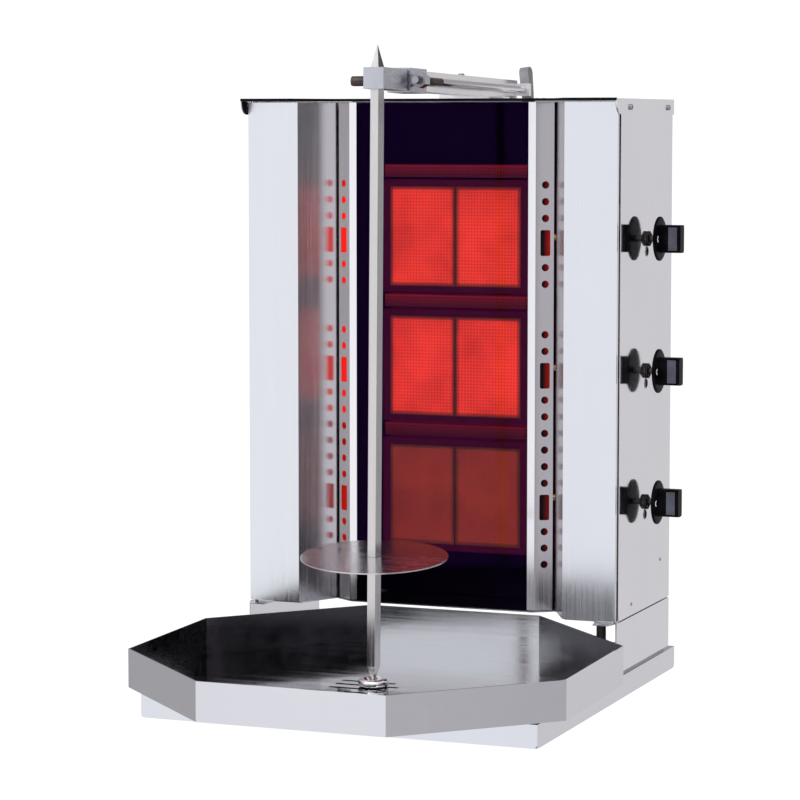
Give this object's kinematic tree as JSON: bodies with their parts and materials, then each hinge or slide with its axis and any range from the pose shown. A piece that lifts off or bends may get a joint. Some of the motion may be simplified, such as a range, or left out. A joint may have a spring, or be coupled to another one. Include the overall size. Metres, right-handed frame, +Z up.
{
  "type": "vertical rotisserie broiler",
  "caption": "Table-top vertical broiler: a spit with a disc stands on a drip tray before a glass-fronted burner stack, held by a sliding top arm, with swing shields.",
  "frame": {"origin": "centre of the underside of the base", "axes": "+Z up, -Y towards the operator, +X towards the side with the gas knobs"},
  "size_m": [0.5932, 0.7832, 0.8333],
  "materials": {
    "stainless": "satin sheet stainless steel",
    "tray_steel": "polished sheet stainless steel",
    "glass_ceramic": "smooth dark glass-ceramic",
    "ceramic": null,
    "black_plastic": "moulded",
    "brass": "turned",
    "dark_steel": "blackened",
    "zinc_steel": "zinc coated sheet",
    "bronze": "sintered bearing",
    "rubber": "matte",
    "polished_steel": "polished"
  },
  "bodies": {
    "root": {"base_pan": "stainless", "base_bottom_cover": "zinc_steel", "grease_pan": "stainless", "bearing_bracket": "zinc_steel", "drive_bearing": "bronze", "drive_belt": "rubber", "drive_motor": "zinc_steel", "drip_tray": "tray_steel", "left_leg": "stainless", "right_leg": "stainless", "motor_conduit": "rubber", "housing_floor": "stainless", "housing_back": "stainless", "left_side_panel": "stainless", "right_side_panel": "stainless", "top_cover": "stainless", "cover_screw_1": "dark_steel", "cover_screw_2": "dark_steel", "cover_screw_3": "dark_steel", "cover_screw_4": "dark_steel", "left_shield_lug": "stainless", "right_shield_lug": "stainless", "left_vent_strip": "stainless", "right_vent_strip": "stainless", "glass_pane": "glass_ceramic", "burner_box_1": "zinc_steel", "burner_box_2": "zinc_steel", "burner_box_3": "zinc_steel", "ceramic_plate_left_1": "ceramic", "ceramic_plate_right_1": "ceramic", "ceramic_plate_left_2": "ceramic", "ceramic_plate_right_2": "ceramic", "ceramic_plate_left_3": "ceramic", "ceramic_plate_right_3": "ceramic", "gas_manifold": "brass", "gas_valve_1": "brass", "gas_valve_2": "brass", "gas_valve_3": "brass", "arm_tube": "stainless", "spindle_bearing": "stainless"},
    "left_shield_body": {"left_shield": "stainless"},
    "right_shield_body": {"right_shield": "stainless"},
    "knob_1_body": {"knob_1": "black_plastic", "valve_stem_1": "dark_steel"},
    "knob_2_body": {"knob_2": "black_plastic", "valve_stem_2": "dark_steel"},
    "knob_3_body": {"knob_3": "black_plastic", "valve_stem_3": "dark_steel"},
    "drive_body": {"drive_shaft": "zinc_steel", "drive_cup": "polished_steel"},
    "motor_pulley_body": {"motor_pulley": "zinc_steel"},
    "top_bush_body": {"spit_bush": "bronze"},
    "spit_body": {"spit_bar": "stainless", "spit_disc": "stainless", "disc_pin": "dark_steel"},
    "spindle_body": {"arm_spindle": "stainless", "t_handle": "stainless"},
    "head_body": {"spit_head": "stainless", "arm_collar": "stainless", "head_lock_screw": "dark_steel"}
  },
  "joints": [
    {"name": "left_shield_swing", "type": "hinge", "parent": "root", "child": "left_shield_body", "pos_m": [-0.2505, 0.0365, 0.1], "axis": [0, 0, -1], "range_deg": [0, 90]},
    {"name": "right_shield_swing", "type": "hinge", "parent": "root", "child": "right_shield_body", "pos_m": [0.2505, 0.0365, 0.1], "axis": [0, 0, 1], "range_deg": [0, 90]},
    {"name": "knob_1_turn", "type": "hinge", "parent": "root", "child": "knob_1_body", "pos_m": [0.2723, 0.155, 0.5866], "axis": [1, 0, 0], "range_deg": [0, 180]},
    {"name": "knob_2_turn", "type": "hinge", "parent": "root", "child": "knob_2_body", "pos_m": [0.2723, 0.155, 0.4143], "axis": [1, 0, 0], "range_deg": [0, 180]},
    {"name": "knob_3_turn", "type": "hinge", "parent": "root", "child": "knob_3_body", "pos_m": [0.2723, 0.155, 0.242], "axis": [1, 0, 0], "range_deg": [0, 180]},
    {"name": "spit_lean", "type": "hinge", "parent": "root", "child": "top_bush_body", "pos_m": [0, -0.1596, 0.0389], "axis": [-1, 0, 0], "range_deg": [-0.9, 1.5]},
    {"name": "spit_spin", "type": "hinge", "parent": "top_bush_body", "child": "spit_body", "pos_m": [0, -0.1596, 0.0389], "axis": [0, 0.0192, 0.9998], "continuous": true},
    {"name": "drive_spin", "type": "hinge", "parent": "root", "child": "drive_body", "pos_m": [0, -0.1596, 0.02], "axis": [0, 0, 1], "continuous": true},
    {"name": "motor_pulley_spin", "type": "hinge", "parent": "root", "child": "motor_pulley_body", "pos_m": [0, 0.03, 0.01], "axis": [0, 0, 1], "continuous": true},
    {"name": "spindle_turn", "type": "hinge", "parent": "root", "child": "spindle_body", "pos_m": [0.025, -0.14516, 0.79116], "axis": [0, 0.9998, -0.0192], "range_deg": [-2750, 4550]},
    {"name": "head_slide", "type": "slide", "parent": "root", "child": "head_body", "axis": [0, 0.9998, -0.0192], "range_m": [-0.01125, 0.01875]}
  ],
  "couplings": [
    {"joint": "spindle_turn", "follows": "head_slide", "rad_per_m": 4188.8},
    {"joint": "spit_lean", "follows": "head_slide", "rad_per_m": 1.3291},
    {"joint": "drive_spin", "follows": "spit_spin", "ratio": 1},
    {"joint": "motor_pulley_spin", "follows": "spit_spin", "ratio": 1}
  ]
}
